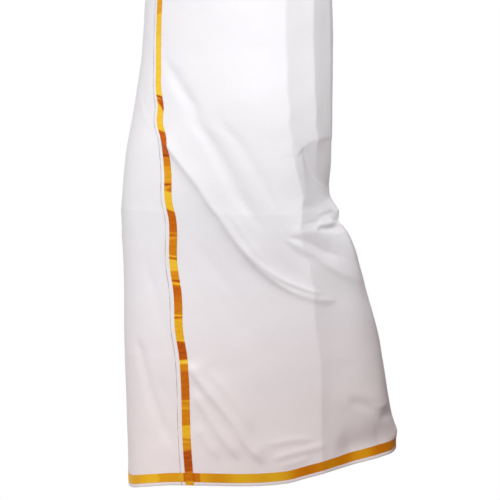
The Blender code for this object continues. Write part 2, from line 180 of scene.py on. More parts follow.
# Where the cloth is pulled into flat facets, crease lines from the top down.
# Each line is (s, h, relief in millimetres) from its left end to its right, and
# the cloth runs straight from one line to the next.
#   under the seat: a hollow between the pressed crease and the back
SEAT_HOLLOW = [
    [(0.215, 0.665, 0.0), (0.300, 0.690, 0.0), (0.460, 0.700, 0.0)],
    [(0.215, 0.618, 0.0), (0.225, 0.619, 0.5), (0.238, 0.621, 0.2), (0.246, 0.628, 0.0), (0.256, 0.636, 0.1), (0.274, 0.641, 0.8),
     (0.301, 0.645, 0.9), (0.345, 0.646, 0.7), (0.410, 0.646, 0.0)],
    [(0.215, 0.615, 0.0), (0.225, 0.6155, -0.6), (0.238, 0.617, -0.2), (0.246, 0.623, 0.0), (0.256, 0.632, 0.0), (0.274, 0.637, -0.3),
     (0.301, 0.641, -0.4), (0.345, 0.642, -0.4), (0.410, 0.642, 0.0)],
    [(0.215, 0.612, 0.0), (0.240, 0.614, 0.0), (0.253, 0.627, -1.2), (0.259, 0.615, -3.6), (0.267, 0.602, -5.4),
     (0.279, 0.588, -6.0), (0.298, 0.577, -4.8), (0.325, 0.567, -3.0), (0.400, 0.560, 0.0)],
    [(0.215, 0.609, 0.0), (0.240, 0.611, 0.0), (0.252, 0.623, -0.7), (0.257, 0.611, -2.8), (0.265, 0.598, -4.5),
     (0.277, 0.584, -5.1), (0.296, 0.573, -4.0), (0.325, 0.562, -2.4), (0.400, 0.554, 0.0)],
    [(0.226, 0.515, 0.0), (0.300, 0.520, 0.9), (0.345, 0.525, 1.2), (0.460, 0.530, 0.0)],
]
#   behind the left knee: a fan of pleats from one point on the pressed crease
KNEE_FAN = [
    [(0.200, 0.520, 0.0), (0.270, 0.530, 0.0), (0.303, 0.538, 0.0), (0.345, 0.545, 0.0), (0.420, 0.560, 0.0)],
    [(0.200, 0.505, 0.0), (0.236, 0.509, 0.0), (0.251, 0.511, 0.2), (0.268, 0.513, 0.4), (0.280, 0.521, 0.8),
     (0.303, 0.526, 1.2), (0.345, 0.531, 3.4), (0.420, 0.540, 1.0)],
    [(0.200, 0.502, 0.0), (0.236, 0.505, -0.5), (0.251, 0.507, -0.8), (0.268, 0.507, -0.8), (0.274, 0.514, -0.2),
     (0.290, 0.518, -0.4), (0.318, 0.519, 0.6), (0.345, 0.520, 2.8), (0.420, 0.530, 0.0)],
    [(0.200, 0.498, 0.0), (0.233, 0.4965, 0.6), (0.247, 0.495, 1.2), (0.260, 0.494, 1.4), (0.271, 0.502, 1.2),
     (0.284, 0.502, 2.2), (0.305, 0.504, 3.2), (0.345, 0.508, 3.2), (0.420, 0.515, 0.0)],
    [(0.200, 0.497, 0.0), (0.233, 0.4955, 0.6), (0.247, 0.494, 1.2), (0.259, 0.4915, 1.2), (0.270, 0.4955, -1.8),
     (0.283, 0.4945, -3.6), (0.304, 0.4950, -4.2), (0.345, 0.498, -1.2), (0.420, 0.506, 0.0)],
    [(0.200, 0.496, 0.0), (0.233, 0.4945, 0.7), (0.247, 0.493, 1.4), (0.259, 0.4885, 1.6), (0.270, 0.4885, -0.7),
     (0.283, 0.4865, -1.7), (0.304, 0.4855, -2.1), (0.345, 0.486, 0.2), (0.420, 0.495, 0.0)],
    [(0.205, 0.4845, 0.0), (0.212, 0.4845, 0.2), (0.223, 0.4885, 0.9), (0.232, 0.491, 1.2), (0.243, 0.491, 1.0), (0.256, 0.487, 0.1),
     (0.275, 0.477, -2.6), (0.291, 0.469, -5.2), (0.317, 0.459, -5.0), (0.345, 0.448, -1.6), (0.420, 0.440, 0.0)],
    [(0.205, 0.4825, 0.0), (0.212, 0.4825, -0.6), (0.222, 0.480, -1.6), (0.232, 0.478, -2.3), (0.241, 0.473, -4.2), (0.254, 0.468, -6.0),
     (0.269, 0.460, -7.8), (0.285, 0.454, -8.8), (0.304, 0.450, -7.8), (0.345, 0.438, -2.4), (0.420, 0.430, 0.0)],
    [(0.200, 0.480, 0.0), (0.212, 0.476, 0.9), (0.222, 0.470, 1.1), (0.235, 0.462, -0.3), (0.250, 0.455, -2.0),
     (0.262, 0.446, -3.0), (0.278, 0.434, -3.0), (0.306, 0.418, -1.8), (0.345, 0.405, 0.0), (0.420, 0.400, 0.0)],
    [(0.198, 0.478, 0.0), (0.209, 0.469, -0.9), (0.218, 0.460, -1.4), (0.232, 0.450, -2.4), (0.248, 0.446, -3.8),
     (0.260, 0.434, -4.8), (0.276, 0.422, -4.6), (0.305, 0.406, -3.0), (0.345, 0.396, -0.6), (0.420, 0.390, 0.0)],
    [(0.195, 0.455, 0.0), (0.240, 0.420, 0.0), (0.267, 0.385, 0.0), (0.300, 0.365, 0.0), (0.420, 0.345, 0.0)],
]



# ------------------------------------------------------------ form of the cloth
def hermite(x, xs, ys):
    """Smooth curve through the rows of a table, for an array x."""
    xs, ys = np.asarray(xs, float), np.asarray(ys, float)
    if xs[0] > xs[-1]:
        xs, ys = xs[::-1], ys[::-1]
    x = np.clip(np.asarray(x, float), xs[0], xs[-1])
    d = (np.diff(ys, axis=0).T / np.diff(xs)).T
    m = np.zeros_like(ys)
    m[1:-1] = (d[1:] + d[:-1]) / 2
    m[0], m[-1] = d[0], d[-1]
    i = np.clip(np.searchsorted(xs, x) - 1, 0, len(xs) - 2)
    span = xs[i + 1] - xs[i]
    t = (x - xs[i]) / span
    t, span = t[..., None], span[..., None]
    return ((2 * t**3 - 3 * t**2 + 1) * ys[i] + (t**3 - 2 * t**2 + t) * span * m[i]
            + (3 * t**2 - 2 * t**3) * ys[i + 1] + (t**3 - t**2) * span * m[i + 1])


def smooth(t):
    t = np.clip(t, 0.0, 1.0)
    return t * t * (3 - 2 * t)


def on_outline(phi, h):
    """Plan position on the outline at height h whose normal faces phi."""
    row = hermite(h, [r[1] for r in SECTIONS], [r[2:] for r in SECTIONS])
    rx, ry, rr, lx, ly, lr = [row[..., k] for k in range(6)]
    nx, ny, tx, ty = np.sin(phi), -np.cos(phi), np.cos(phi), np.sin(phi)
    reach_r, reach_l = rx * nx + ry * ny + rr, lx * nx + ly * ny + lr
    top = np.maximum(reach_r, reach_l)
    er, el = np.exp((reach_r - top) / BLEND), np.exp((reach_l - top) / BLEND)
    reach = top + BLEND * np.log(er + el)
    share = er / (er + el)
    slide = share * (rx * tx + ry * ty) + (1 - share) * (lx * tx + ly * ty)
    return reach * nx + slide * tx, reach * ny + slide * ty


# table of the facing angle by height and share of the girth
H_STEPS = np.linspace(0.030, 1.050, 205)
PHI_STEPS = np.linspace(0, 2 * math.pi, 1441)
_x, _y = on_outline(PHI_STEPS[None, :], H_STEPS[:, None])
_arc = np.concatenate([np.zeros((len(H_STEPS), 1)),
                       np.cumsum(np.hypot(np.diff(_x, axis=1), np.diff(_y, axis=1)), axis=1)], 1)
GIRTH = _arc[:, -1]
SHARES = np.linspace(0, 1, 1441)
FACING = np.stack([np.interp(SHARES, a / a[-1], PHI_STEPS) for a in _arc])


def girth(h):
    return np.interp(h, H_STEPS, GIRTH)


def free_end(h):
    return hermite(h, [r[1] for r in FREE_END], [[r[2]] for r in FREE_END])[..., 0]


def hem_rise(s):
    return hermite(s, [r[0] for r in HEM_RISE], [[r[1]] for r in HEM_RISE])[..., 0]


def facing(s, h):
    share = ((free_end(h) + s) / girth(h)) % 1.0
    a = (np.clip(h, H_STEPS[0], H_STEPS[-1] - 1e-6) - H_STEPS[0]) / (H_STEPS[1] - H_STEPS[0])
    b = share * (len(SHARES) - 1)
    i, j = a.astype(int), np.minimum(b.astype(int), len(SHARES) - 2)
    a, b = a - i, b - j
    return ((1 - a) * ((1 - b) * FACING[i, j] + b * FACING[i, j + 1])
            + a * ((1 - b) * FACING[i + 1, j] + b * FACING[i + 1, j + 1]))


def smooth_path(points, each=14):
    """Catmull-Rom curve through the points, as many short straight steps."""
    p = np.array(points, float)
    p = np.vstack([2 * p[0] - p[1], p, 2 * p[-1] - p[-2]])
    t = np.arange(each)[:, None] / each
    out = []
    for a, b, c, d in zip(p[:-3], p[1:-2], p[2:-1], p[3:]):
        out.append(0.5 * (2 * b + (c - a) * t + (2 * a - 5 * b + 4 * c - d) * t**2 + (3 * b - a - 3 * c + d) * t**3))
    return np.vstack(out + [p[-2:-1]])


def one_fold(row, s, h):
    """Relief of one fold at the points (s, h)."""
    _, points, height, right, left, crest, fade_in, fade_out, soft = row
    path = smooth_path(points)
    reach = (6 if soft == 1 else 3) * max(right, left) + crest
    lo, hi = path.min(0) - reach, path.max(0) + reach
    out = np.zeros_like(s)
    near = (s > lo[0]) & (s < hi[0]) & (h > lo[1]) & (h < hi[1])
    if not near.any():
        return out
    p = np.stack([s[near], h[near]], 1)
    step = np.diff(path, axis=0)
    size = np.hypot(step[:, 0], step[:, 1])
    run = np.concatenate([[0], np.cumsum(size)])
    best = np.full(len(p), 1e9)
    side = np.zeros(len(p))
    along = np.zeros(len(p))
    for k in range(len(step)):
        gap = p - path[k]
        f = np.clip((gap @ step[k]) / size[k]**2, 0, 1)
        off = gap - f[:, None] * step[k]
        dist = np.hypot(off[:, 0], off[:, 1])
        closer = dist < best
        best = np.where(closer, dist, best)
        side = np.where(closer, step[k][0] * gap[:, 1] - step[k][1] * gap[:, 0], side)
        along = np.where(closer, (run[k] + f * size[k]) / run[-1], along)
    wide = np.where(side > 0, left, right)
    fade = smooth(along / fade_in) * smooth((1 - along) / fade_out)
    wide = wide * (0.55 + 0.45 * fade)
    q = (np.sqrt(best**2 + crest**2) - crest) / wide
    out[near] = height * fade * np.exp(-q**soft)
    return out


def between_lines(lines, s, h):
    """Straight facets between crease lines given from the top down."""
    out = np.zeros_like(s)
    table = [np.array(line) for line in lines]
    heights = [np.interp(s, row[:, 0], row[:, 1]) for row in table]
    levels = [np.interp(s, row[:, 0], row[:, 2]) for row in table]
    inside = (s > min(row[0, 0] for row in table)) & (s < max(row[-1, 0] for row in table))
    for k in range(len(table) - 1):
        top, low = heights[k], np.minimum(heights[k + 1], heights[k] - 1e-5)
        f = (h - low) / (top - low)
        here = inside & (f >= 0) & (f < 1)
        out = np.where(here, levels[k + 1] + (levels[k] - levels[k + 1]) * f, out)
    return out * 0.001


def facets(s, h):
    """The facets, their edges softened over about 3 mm."""
    out = np.zeros_like(s)
    near = (s > 0.19) & (s < 0.47) & (h > 0.34) & (h < 0.71)
    if not near.any():
        return out
    ring = [(0.0, 0.0)] + [(0.0016 * math.cos(k * math.pi / 3), 0.0016 * math.sin(k * math.pi / 3)) for k in range(6)]
    total = 0.0
    for ds, dh in ring:
        total = total + between_lines(SEAT_HOLLOW, s[near] + ds, h[near] + dh)
        total = total + between_lines(KNEE_FAN, s[near] + ds, h[near] + dh)
    out[near] = total / len(ring)
    return out


def roof(d, slope, wide):
    """A pressed line: two flats that meet at d = 0 and ease back in over wide."""
    d = np.sqrt(d * d + 0.0006**2)
    return slope * wide * 0.5 * (1 - np.clip(d / wide, 0, 1))**2


def flat_between(d, gap, radius):
    """Chord instead of arc for 0 < d < gap: the cloth pressed flat between two lines."""
    d = np.clip(d, 0, gap)
    return -d * (gap - d) / (2 * radius)


def turned_away(d, slope, wide):
    """Falls away behind a line, then eases back."""
    d = np.clip(d, 0, None)
    return -slope * d * np.exp(-(d / wide) ** 2)


WAVES = np.random.RandomState(11).uniform(0, 1, (40, 4))


def unevenness(s, h):
    """Slight waviness all over, as in pressed cotton that has been in use."""
    out = np.zeros_like(s)
    for a, b, c, d in WAVES:
        length = 0.022 + 0.085 * a
        turn = math.pi * b
        round_count = round(math.cos(turn) / length)       # whole waves round the wrap
        up = 2 * math.pi / length * math.sin(turn)
        out += 0.0006 * length * (0.4 + c) * np.sin(2 * math.pi * round_count * s / girth(h) + up * h + 20 * d)
    return out


def relief(s, h):
    """How far folds and pressed creases push the cloth out."""
    length = girth(h)
    s = s % length
    total = unevenness(s, h)
    for row in FOLDS:
        total += one_fold(row, s, h) + one_fold(row, s - length, h)
    total += facets(s, h)
    # the pressed crease down the front, softer below the knee
    d = s - PRESS_S - np.interp(h, [r[0] for r in PRESS_STRAY[::-1]], [r[1] for r in PRESS_STRAY[::-1]])
    down = smooth((h - 0.16) / 0.30)
    total += roof(d, 0.12, 0.050) * (0.45 + 0.55 * down)
    # below the knee the flat behind it turns well away
    total += turned_away(d, 0.29, 0.088) * smooth((0.45 - h) / 0.08) * (0.75 + 0.25 * down)
    # the two flats behind it at the seat, and one wide flat above the knee
    top, low = np.interp(s, *zip(*TUCK_TOP)), np.interp(s, *zip(*TUCK_LOW))
    seat = np.clip((h - low) / (top - low), 0, 1)
    two = seat * (0.90 + 0.10 * smooth((h - 0.645) / 0.060))
    for first in (0.0, PRESS_GAP):
        total += 0.8 * flat_between(d - first, PRESS_GAP, PRESS_ROUND) * two * smooth((0.97 - h) / 0.10)
    total += 0.56 * flat_between(d, PRESS_WIDE, KNEE_ROUND) * (1 - two) * smooth((h - 0.345) / 0.155) * smooth((0.74 - h) / 0.06)
    # and two lines across, where the cloth was folded in packing
    for v in PACK_V:
        total += roof(h - HEM_H - v - 0.002 * np.sin(s * 31.0 + v * 40), 0.075, 0.010) * (0.55 + 0.45 * np.sin(s * 19.0 + v * 9))
    return total


def layer(s, h):
    start = PRESS_S + (girth(h) - PRESS_S) / 3 * 0.6 + 0.03
    return (WALL + LAYER_GAP) * (1 - smooth((s - start) / 0.17))


def place(s, h, out=0.0):
    """World points at arc s from the free end, height h, moved out by out."""
    s, h = np.broadcast_arrays(np.asarray(s, float), np.asarray(h, float))
    shape, s, h = s.shape, s.ravel(), h.ravel()
    out = np.broadcast_to(out, shape).ravel() if np.ndim(out) else out
    phi = facing(s, h)
    x, y = on_outline(phi, h)
    d = relief(s, h) + out
    return np.stack([x + d * np.sin(phi), y - d * np.cos(phi), h - HOLD_H], -1).reshape(shape + (3,))


def row_height(v, s):
    return HEM_H + v + hem_rise(s) * (1 - smooth(v / 0.5))


# --------------------------------------------------------------------- meshes
def grid_mesh(name, points, material, uv=None, closed=False, tone=None):
    """A smooth sheet through points [row][column]; rows go up, columns go left."""
    rows, cols = points.shape[:2]
    index = np.arange(rows * cols).reshape(rows, cols)
    if closed:
        index = np.concatenate([index, index[:, :1]], 1)
    quads = np.stack([index[:-1, :-1], index[:-1, 1:], index[1:, 1:], index[1:, :-1]], -1).reshape(-1, 4)
    mesh = bpy.data.meshes.new(name)
    mesh.from_pydata(points.reshape(-1, 3).tolist(), [], quads.tolist())
    mesh.materials.append(material)
    if uv is not None:
        layer_uv = mesh.uv_layers.new(name="cloth")
        if closed:
            uv = np.concatenate([uv, uv[:, :1] + [[[1.0, 0.0]]]], 1)
        corner = np.stack([uv[:-1, :-1], uv[:-1, 1:], uv[1:, 1:], uv[1:, :-1]], 2).reshape(-1, 2)
        layer_uv.data.foreach_set("uv", corner.astype(np.float32).ravel())
    # tone: painted reflections and shade of the gold bands, kept per point
    if tone is not None:
        attr = mesh.attributes.new("zari_painted_light", "FLOAT", "POINT")
        attr.data.foreach_set("value", tone.astype(np.float32).ravel())
    mesh.shade_smooth()
    mesh.validate()
    mesh.update()
    obj = bpy.data.objects.new(name, mesh)
    bpy.context.scene.collection.objects.link(obj)
    return obj


def spread(start, stop, step):
    n = max(1, int(round((stop - start) / step)))
    return [start + (stop - start) * k / n for k in range(n + 1)]


COARSE = 1.0
# rows by v, from the bottom selvage up, closer where the cloth is pleated
ROWS = np.array(sorted(set(spread(EDGE, SELVAGE, 0.0035) + spread(SELVAGE, SELVAGE + HEM_ZARI, 0.004)
                           + spread(SELVAGE + HEM_ZARI, 0.33, 0.0042 * COARSE) + spread(0.33, 0.60, 0.0026 * COARSE)
                           + spread(0.60, FULL_H, 0.0042 * COARSE))))
# columns: fixed arcs on the front and left, then shares of what is left, then the underlap
NEAR = sorted(set(spread(0, SELVAGE, 0.0035) + spread(SELVAGE, SELVAGE + END_ZARI, 0.0032)
                  + spread(SELVAGE + END_ZARI, 0.19, 0.0032 * COARSE) + spread(0.19, 0.38, 0.0024 * COARSE)
                  + spread(0.38, 0.50, 0.0036 * COARSE)))
FAR = sorted(set(spread(0, 0.55, 0.0115 * COARSE) + spread(0.55, 1.0, 0.0068 * COARSE)))[1:]
LAP = spread(0, 0.03, 0.004)[1:] + spread(0.03, 0.40, 0.010)[1:]


def sheet_columns(h0):
    """Arc of every column at nominal height h0 (array over rows)."""
    h0 = np.asarray(h0)[:, None]
    p = girth(h0)
    near = np.broadcast_to(np.array(NEAR)[None], (len(h0), len(NEAR)))
    far = 0.50 + (p - 0.50) * np.array(FAR)[None]
    lap = p + np.array(LAP)[None]
    return np.concatenate([near, far, lap], 1)


def sheet_layer(s, h):
    """Offset of the sheet's face: outer layer, easing in, then under itself."""
    return np.where(s > girth(h), 0.0, layer(s, h)) + WALL * 0.9


def make_sheet(material):
    s = sheet_columns(HEM_H + ROWS)
    v = np.broadcast_to(ROWS[:, None], s.shape)
    length = girth(HEM_H + v)
    lap = np.clip((s - length) / 0.02, 0, 1)
    s_in = np.where(s > length, s - length, s)
    vv = v + 0.004 * lap * (1 - np.clip(v / 0.05, 0, 1))
    h = row_height(vv, s_in)
    pts = place(s_in, h, sheet_layer(s, h))
    uv = np.stack([s, v], -1)
    # the cloth's own thickness shows at the hem and the free end: turn the edge in
    t = 0.0007
    low = place(s_in[:1], h[:1] - 0.0003, sheet_layer(s, h)[:1] - t * 0.5)
    low2 = place(s_in[:1], h[:1] + 0.0005, sheet_layer(s, h)[:1] - t)
    low3 = place(s_in[:1], h[:1] + 0.0080, sheet_layer(s, h)[:1] - t)
    pts = np.concatenate([low3, low2, low, pts], 0)
    uv = np.concatenate([uv[:1] + [0, 0.008], uv[:1], uv[:1] - [0, 0.0003], uv], 0)
    h = np.concatenate([h[:1] + 0.008, h[:1] + 0.0005, h[:1] - 0.0003, h], 0)
    inner = sheet_layer(np.zeros_like(h[:, :1]), h[:, :1])
    e1 = place(np.full_like(h[:, :1], -0.0003), h[:, :1], inner - t * 0.5)
    e2 = place(np.full_like(h[:, :1], 0.0004), h[:, :1], inner - t)
    pts = np.concatenate([e2, e1, pts], 1)
    uv = np.concatenate([uv[:, :1] + [0.0004, 0], uv[:, :1] - [0.0003, 0], uv], 1)
    return grid_mesh("dhoti_cloth", pts, material, uv)


# ------------------------------------------------------------------- gold bands
# Painted reflections and shade on the end band, 0 deep orange to 1 bright yellow gold, down the cloth:
# lit and shaded facets where the band bends. Each row holds down to its low edge, and slant tilts that edge across the
# band.
#  low     tone  slant
ZARI_PAINTED_LIGHT = [
    (0.985, 0.55, 0.2), (0.930, 0.80, 0.4), (0.905, 0.25, -0.3), (0.850, 0.60, 0.3), (0.812, 0.85, 0.2),
    (0.7145, 0.95, -0.2), (0.7105, 0.02, -0.3), (0.7085, 0.70, 0.0), (0.6970, 0.15, -1.3), (0.6560, 0.88, -0.3),
    (0.6170, 0.18, -0.1), (0.6135, 0.00, 0.0), (0.5970, 0.42, 0.1), (0.5690, 0.60, 0.0), (0.5655, 0.05, 0.1),
    (0.5600, 0.60, 0.6), (0.5560, 0.30, -0.3), (0.5240, 0.85, -0.4), (0.4870, 0.22, 0.0), (0.4840, 0.60, 0.0),
    (0.4800, 0.15, 0.1), (0.4755, 0.60, 0.1), (0.4480, 0.42, -0.2), (0.4450, 0.85, -0.1), (0.4415, 0.15, -0.1),
    (0.4220, 0.86, 0.1), (0.4070, 0.50, 0.0), (0.4030, 0.08, -0.1), (0.3980, 0.80, -0.1), (0.3800, 0.20, 0.1),
    (0.3740, 0.32, 0.0), (0.3710, 0.20, 0.1), (0.3480, 0.38, 0.0), (0.3450, 0.85, 0.0), (0.3420, 0.15, 0.1),
    (0.3060, 0.68, 0.0), (0.3030, 0.90, -0.1), (0.3005, 0.15, -0.1), (0.2715, 0.12, 0.1), (0.2650, 1.00, 0.1),
    (0.2530, 0.46, 0.0), (0.2030, 0.25, 0.1), (0.2000, 0.65, 0.0), (0.1905, 0.48, 0.0), (0.1875, 0.75, 0.0),
    (0.1590, 0.44, 0.1), (0.1370, 0.76, 0.0), (0.1335, 0.40, -0.1), (0.1300, 0.65, 0.0), (0.1160, 0.50, 0.2),
    (0.0810, 0.10, 0.2), (0.0640, 0.32, 0.0), (0.0300, 0.62, 0.0),
]


# painted light and shade of the end band, from the table above
def end_band_painted_light(s, h):
    across = s - SELVAGE - END_ZARI / 2
    tone = np.full_like(s, ZARI_PAINTED_LIGHT[-1][1])
    for (low, value, slant), (_, below, _) in list(zip(ZARI_PAINTED_LIGHT, ZARI_PAINTED_LIGHT[1:]))[::-1]:
        edge = low + slant * across
        tone = np.where(h > edge, value + (tone - value) * np.clip(1 - (h - edge) / 0.0028, 0, 1), tone)
    tone = tone + 0.05 * np.sin(h * 700) * np.sin(h * 173 + s * 160)
    return np.clip(tone, 0, 1)


def make_end_band(material):
    v = np.array(spread(EDGE + 0.0003, FULL_H - 0.004, 0.0011 * COARSE))
    s = np.array(spread(SELVAGE, SELVAGE + END_ZARI, 0.0020))
    ss, vv = np.meshgrid(s, v)
    h = row_height(vv, ss)
    lift = 0.0004 + 0.0004 * (vv < SELVAGE + HEM_ZARI + 0.002)
    pts = place(ss, h, sheet_layer(ss, h) + lift)
    return grid_mesh("zari_end_band", pts, material, np.stack([ss, vv], -1), tone=end_band_painted_light(ss, h))


def make_hem_band(material):
    v = np.array(spread(SELVAGE, SELVAGE + HEM_ZARI, 0.004))
    h0 = np.full(len(v), HEM_H + 0.015)
    s = sheet_columns(h0)
    keep = (s[0] < girth(h0[0]) + 0.028)
    s = s[:, keep]
    vv = np.broadcast_to(v[:, None], s.shape)
    length = girth(HEM_H + vv)
    lap = np.clip((s - length) / 0.02, 0, 1)
    s_in = np.where(s > length, s - length, s)
    h = row_height(vv + 0.004 * lap, s_in)
    pts = place(s_in, h, sheet_layer(s, h) + 0.0003)
    # painted light and shade on the hem band: darker along the side turned away from the light, s 0.15 to 0.62
    tone = np.where(s > 0.9, 0.76, 0.66) + 0.12 * np.sin(s * 23.0) * np.sin(s * 61.0 + 1.0)
    tone = tone - 0.20 * smooth((s - 0.15) / 0.06) * smooth((0.62 - s) / 0.12)
    tone = np.where((s > length - 0.037) & (s < length), 0.60, tone)
    # darker, as painted shade, where the end band crosses it, and just beside it
    tone = np.where((s > SELVAGE - 0.001) & (s < SELVAGE + END_ZARI + 0.001), 0.12, tone)
    tone = np.where((s > SELVAGE + END_ZARI + 0.001) & (s < SELVAGE + END_ZARI + 0.011), 0.34, tone)
    return grid_mesh("zari_hem_band", pts, material, np.stack([s, vv], -1), tone=tone)


def make_waist(material):
    """The top turned over outward and down: a soft rounded welt."""
    n = 300
    u = np.arange(n) / n
    path = []          # (out, drop from the top) round the turn
    for k in range(7):
        path.append((-0.0012, 0.010 - 0.009 * k / 6))
    for k in range(1, 12):
        a = math.pi * k / 12
        path.append((0.0012 - 0.0024 * math.cos(a), 0.001 - 0.0022 * math.sin(a)))
    for k in range(0, 19):
        t = k / 18
        path.append((0.0036 + 0.0014 * math.sin(math.pi * t) - 0.0006 * t, 0.001 + 0.037 * t))
    path.append((0.0026, 0.0386))
    path.append((0.0018, 0.0380))
    rows = []
    for out, drop in path:
        h = np.full(n, TOP_H - drop)
        length = girth(h)
        s = u * length
        step = (WALL + LAYER_GAP) * smooth((s - (length - 0.060)) / 0.050)
        base = np.maximum(layer(s, h), step) + WALL * 0.9
        ripple = 0.0006 * np.sin(2 * math.pi * (u * 7 + 0.2)) * np.sin(2 * math.pi * u * 3 + drop * 60) * (drop > 0.002)
        rows.append(place(s, h, base + out + ripple))
    pts = np.array(rows)[::-1]
    uv = np.stack(np.broadcast_arrays(0.01 + u[None, :], FULL_H + np.linspace(0, 0.06, len(path))[:, None]), -1)
    return grid_mesh("waist_turn", pts, material, uv, closed=True)


# ------------------------------------------------------------------- materials
def nodes_of(name):
    material = bpy.data.materials.new(name)
    material.use_nodes = True
    return material, material.node_tree, material.node_tree.nodes["Principled BSDF"]


def add(tree, kind, **values):
    node = tree.nodes.new(kind)
    for key, value in values.items():
        if hasattr(node, key):
            setattr(node, key, value)
        else:
            node.inputs[key.replace("_", " ")].default_value = value
    return node


def cotton_material():
    material, tree, shader = nodes_of("cotton_plain_weave")
    shader.inputs["Roughness"].default_value = 0.82
    shader.inputs["Sheen Weight"].default_value = 0.12
    shader.inputs["Sheen Roughness"].default_value = 0.5
    shader.inputs["Specular IOR Level"].default_value = 0.25
    uv = add(tree, "ShaderNodeUVMap", uv_map="cloth")
    # slubs: thicker threads, long along each thread
    def streaks(su, sv, detail):
        scale = add(tree, "ShaderNodeMapping")
        scale.inputs["Scale"].default_value = (su, sv, 1)
        noise = add(tree, "ShaderNodeTexNoise", Scale=1.0, Detail=detail)
        tree.links.new(uv.outputs[0], scale.inputs[0])
        tree.links.new(scale.outputs[0], noise.inputs["Vector"])
        return noise.outputs["Fac"]
    warp = streaks(700, 60, 2.0)
    weft = streaks(60, 700, 2.0)
    both = add(tree, "ShaderNodeMath", operation="ADD")
    tree.links.new(warp, both.inputs[0])
    tree.links.new(weft, both.inputs[1])
    bump = add(tree, "ShaderNodeBump", Strength=0.10, Distance=0.0003)
    tree.links.new(both.outputs[0], bump.inputs["Height"])
    tree.links.new(bump.outputs[0], shader.inputs["Normal"])
    # colour: bleached white, faintly cloudy, with the brown thread at the free end, painted dark enough to stand for
    # the shade along that edge as well
    ramp = add(tree, "ShaderNodeMapRange")
    ramp.inputs["From Min"].default_value = 0.7
    ramp.inputs["From Max"].default_value = 1.3
    ramp.inputs["To Min"].default_value = 0.0
    ramp.inputs["To Max"].default_value = 1.0
    tree.links.new(both.outputs[0], ramp.inputs["Value"])
    mix = add(tree, "ShaderNodeMix", data_type="RGBA")
    colour_in = [i for i in mix.inputs if i.type == "RGBA"]
    colour_in[0].default_value = (0.965, 0.965, 0.965, 1)
    colour_in[1].default_value = (1.0, 1.0, 1.0, 1)
    tree.links.new(ramp.outputs[0], mix.inputs["Factor"])
    slub = [o for o in mix.outputs if o.type == "RGBA"][0]
    # painted shade and rosy bounce light: bleached blue-white above, darker and rosier towards the hem
    place_uv = add(tree, "ShaderNodeSeparateXYZ")
    tree.links.new(uv.outputs[0], place_uv.inputs[0])
    hem_shade = add(tree, "ShaderNodeMapRange", interpolation_type="SMOOTHSTEP")
    hem_shade.inputs["From Min"].default_value = 0.0
    hem_shade.inputs["From Max"].default_value = 0.48
    hem_shade.inputs["To Min"].default_value = 1.0
    hem_shade.inputs["To Max"].default_value = 0.0
    tree.links.new(place_uv.outputs["Y"], hem_shade.inputs["Value"])
    # the painted shade and bounce light towards the hem, mixed between the two colours
    hem_shade_colour = add(tree, "ShaderNodeMix", data_type="RGBA")
    colour_in = [i for i in hem_shade_colour.inputs if i.type == "RGBA"]
    colour_in[0].default_value = (0.850, 0.860, 0.888, 1)
    colour_in[1].default_value = (0.868, 0.795, 0.794, 1)
    tree.links.new(hem_shade.outputs[0], hem_shade_colour.inputs["Factor"])
    both_colours = add(tree, "ShaderNodeMix", data_type="RGBA", blend_type="MULTIPLY")
    both_colours.inputs["Factor"].default_value = 1.0
    colour_in = [i for i in both_colours.inputs if i.type == "RGBA"]
    tree.links.new([o for o in hem_shade_colour.outputs if o.type == "RGBA"][0], colour_in[0])
    tree.links.new(slub, colour_in[1])
    colour_out = [o for o in both_colours.outputs if o.type == "RGBA"][0]
    # thin brown thread along the free end, darkened further as painted shade of the cloth's edge
    split = add(tree, "ShaderNodeSeparateXYZ")
    tree.links.new(uv.outputs[0], split.inputs[0])
    line = add(tree, "ShaderNodeMapRange")
    line.inputs["From Min"].default_value = 0.0008
    line.inputs["From Max"].default_value = 0.0015
    line.inputs["To Min"].default_value = 0.62
    line.inputs["To Max"].default_value = 0.0
    tree.links.new(split.outputs["X"], line.inputs["Value"])
    breaks = add(tree, "ShaderNodeTexNoise", noise_dimensions="1D", Scale=38.0, Detail=1.0)
    tree.links.new(split.outputs["Y"], breaks.inputs["W"])
    there = add(tree, "ShaderNodeMapRange")
    there.inputs["From Min"].default_value = 0.35
    there.inputs["From Max"].default_value = 0.60
    there.inputs["To Min"].default_value = 0.35
    there.inputs["To Max"].default_value = 1.0
    tree.links.new(breaks.outputs["Fac"], there.inputs["Value"])
    edge_thread_and_shade = add(tree, "ShaderNodeMath", operation="MULTIPLY")
    tree.links.new(line.outputs[0], edge_thread_and_shade.inputs[0])
    tree.links.new(there.outputs[0], edge_thread_and_shade.inputs[1])
    mix2 = add(tree, "ShaderNodeMix", data_type="RGBA")
    colour_in = [i for i in mix2.inputs if i.type == "RGBA"]
    colour_in[1].default_value = (0.30, 0.19, 0.13, 1)
    tree.links.new(edge_thread_and_shade.outputs[0], mix2.inputs["Factor"])
    tree.links.new(colour_out, colour_in[0])
    tree.links.new([o for o in mix2.outputs if o.type == "RGBA"][0], shader.inputs["Base Color"])
    return material


